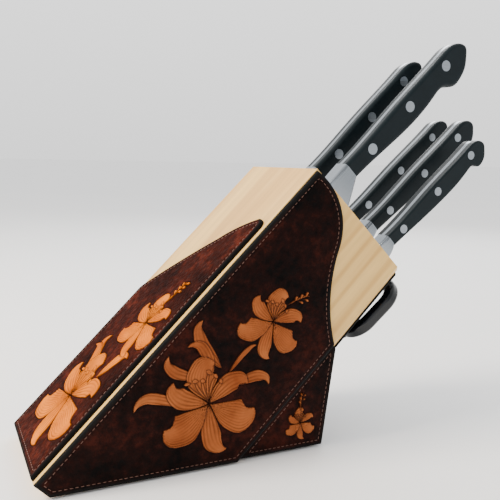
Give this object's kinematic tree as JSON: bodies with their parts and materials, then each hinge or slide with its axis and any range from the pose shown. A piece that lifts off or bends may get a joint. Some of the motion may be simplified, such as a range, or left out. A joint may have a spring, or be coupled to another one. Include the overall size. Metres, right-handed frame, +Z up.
{
  "type": "knife block with knives",
  "caption": "Slanted wooden knife block clad in tooled leather, on a glued foot, holding riveted full-tang knives and kitchen shears that slide out of their slots.",
  "frame": {"origin": "middle of the footprint, on the face that the block rests on", "axes": "+Z up, +X the way the handles lean, Y across the block"},
  "size_m": [0.3299, 0.0966, 0.2656],
  "materials": {
    "board_wood": "fine sanded pale hardwood, satin",
    "spacer_wood": "fine sanded pale hardwood, satin",
    "foot_wood": "fine sanded pale hardwood, satin",
    "pad_rubber": "matt non-slip sheet",
    "leather": "dark brown tooled leather, waxed, black burnished edges",
    "knife_steel": "satin steel, polished bolster",
    "handle_black": "black moulded handle slab, semi-gloss",
    "rivet_steel": "ground flush, satin",
    "shears_steel": "satin steel",
    "shears_plastic": "black gloss moulding"
  },
  "bodies": {
    "block": {"board_1": "board_wood", "board_2": "board_wood", "board_3": "board_wood", "board_4": "board_wood", "board_5": "board_wood", "board_6": "board_wood", "spacer_1_above": "spacer_wood", "spacer_1_below": "spacer_wood", "spacer_2_above": "spacer_wood", "spacer_2_below": "spacer_wood", "spacer_3_above": "spacer_wood", "spacer_3_below": "spacer_wood", "spacer_4_above": "spacer_wood", "spacer_4_below": "spacer_wood", "spacer_5_above": "spacer_wood", "spacer_5_below": "spacer_wood", "foot_cheek_near": "foot_wood", "foot_cheek_far": "foot_wood", "foot_core_upper": "foot_wood", "foot_core_lower": "foot_wood", "base_pad": "pad_rubber", "side_leather_near": "leather", "side_leather_far": "leather", "slope_leather": "leather", "underside_leather": "leather", "foot_leather_near": "leather", "foot_leather_far": "leather", "foot_back_leather_upper": "leather", "foot_back_leather_lower": "leather"},
    "chef_knife": {"chef_knife_blade": "knife_steel", "chef_knife_scale_near": "handle_black", "chef_knife_scale_far": "handle_black", "chef_knife_rivets": "rivet_steel"},
    "carving_knife": {"carving_knife_blade": "knife_steel", "carving_knife_scale_near": "handle_black", "carving_knife_scale_far": "handle_black", "carving_knife_rivets": "rivet_steel"},
    "paring_knife": {"paring_knife_blade": "knife_steel", "paring_knife_scale_near": "handle_black", "paring_knife_scale_far": "handle_black", "paring_knife_rivets": "rivet_steel"},
    "utility_knife": {"utility_knife_blade": "knife_steel", "utility_knife_scale_near": "handle_black", "utility_knife_scale_far": "handle_black", "utility_knife_rivets": "rivet_steel"},
    "boning_knife": {"boning_knife_blade": "knife_steel", "boning_knife_scale_near": "handle_black", "boning_knife_scale_far": "handle_black", "boning_knife_rivets": "rivet_steel"},
    "shears_far_half": {"shears_blade_far": "shears_steel", "shears_grip_far": "shears_plastic", "shears_pivot_screw": "shears_steel"},
    "shears_near_half": {"shears_blade_near": "shears_steel", "shears_grip_near": "shears_plastic"}
  },
  "joints": [
    {"name": "chef_knife_draw", "type": "slide", "parent": "block", "child": "chef_knife", "axis": [0.7071, 0, 0.7071], "range_m": [0, 0.208]},
    {"name": "carving_knife_draw", "type": "slide", "parent": "block", "child": "carving_knife", "axis": [0.7071, 0, 0.7071], "range_m": [0, 0.198]},
    {"name": "paring_knife_draw", "type": "slide", "parent": "block", "child": "paring_knife", "axis": [0.7396, 0, 0.673], "range_m": [0, 0.098]},
    {"name": "utility_knife_draw", "type": "slide", "parent": "block", "child": "utility_knife", "axis": [0.7396, 0, 0.673], "range_m": [0, 0.128]},
    {"name": "boning_knife_draw", "type": "slide", "parent": "block", "child": "boning_knife", "axis": [0.7396, 0, 0.673], "range_m": [0, 0.138]},
    {"name": "shears_draw", "type": "slide", "parent": "block", "child": "shears_far_half", "axis": [0.7071, 0, 0.7071], "range_m": [0, 0.054]},
    {"name": "shears_open", "type": "hinge", "parent": "shears_far_half", "child": "shears_near_half", "pos_m": [0.10496, 0, 0.05362], "axis": [0.7071, 0, -0.7071], "range_deg": [0, 23]}
  ]
}
